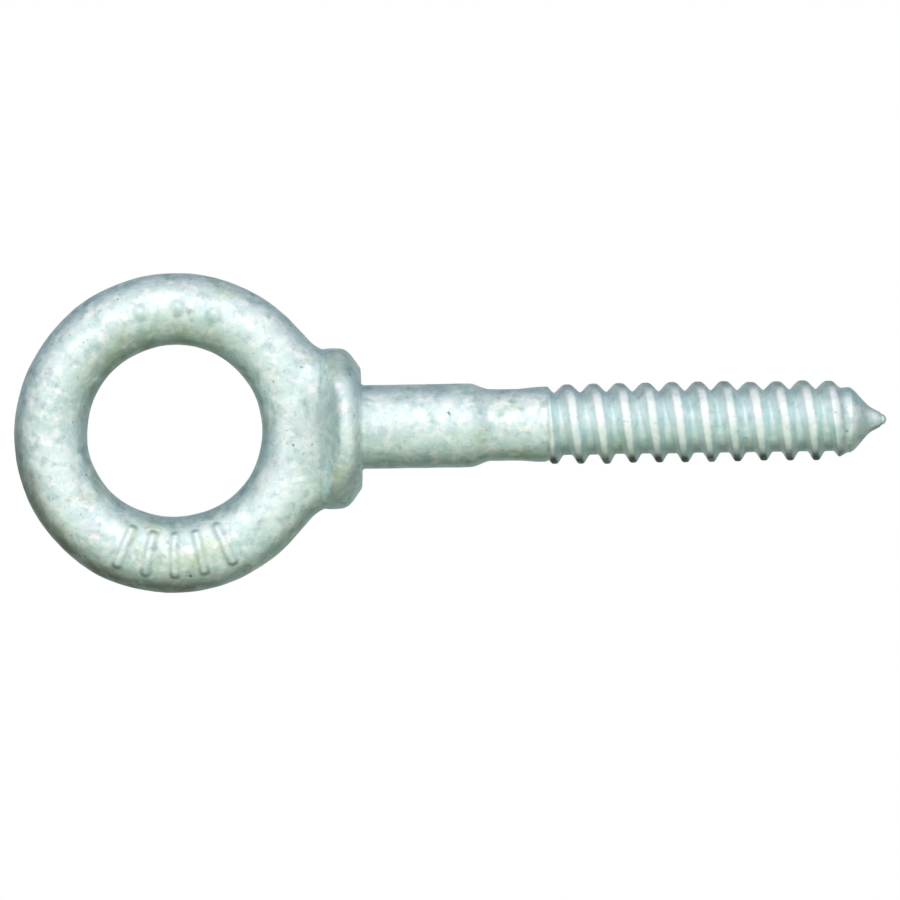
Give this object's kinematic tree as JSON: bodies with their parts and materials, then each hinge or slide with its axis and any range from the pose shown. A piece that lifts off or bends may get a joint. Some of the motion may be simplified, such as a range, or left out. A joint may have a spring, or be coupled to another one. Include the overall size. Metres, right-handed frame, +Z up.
{
  "type": "eye bolt",
  "caption": "Galvanised shoulder screw eye bolt: round ring eye on a collar, plain shank stepping down to a coarse lag thread with a drive point.",
  "frame": {"origin": "on the shank's axis, in the plane of the shoulder's flat seat", "axes": "+Z up through the eye, with the shank and point running down -Z; the ring lies in the XZ plane and its hole runs along Y"},
  "size_m": [0.0502, 0.025, 0.1369],
  "materials": {
    "galvanised_eye": "satin",
    "galvanised_shank": "satin",
    "galvanised_thread": "satin"
  },
  "bodies": {
    "root": {"eye_ring": "galvanised_eye", "eye_neck": "galvanised_eye", "shoulder_collar": "galvanised_eye", "plain_shank": "galvanised_shank", "shank_step": "galvanised_shank", "rolled_blank": "galvanised_shank", "lag_thread": "galvanised_thread", "point_cone": "galvanised_thread", "point_nib": "galvanised_thread"}
  },
  "joints": []
}
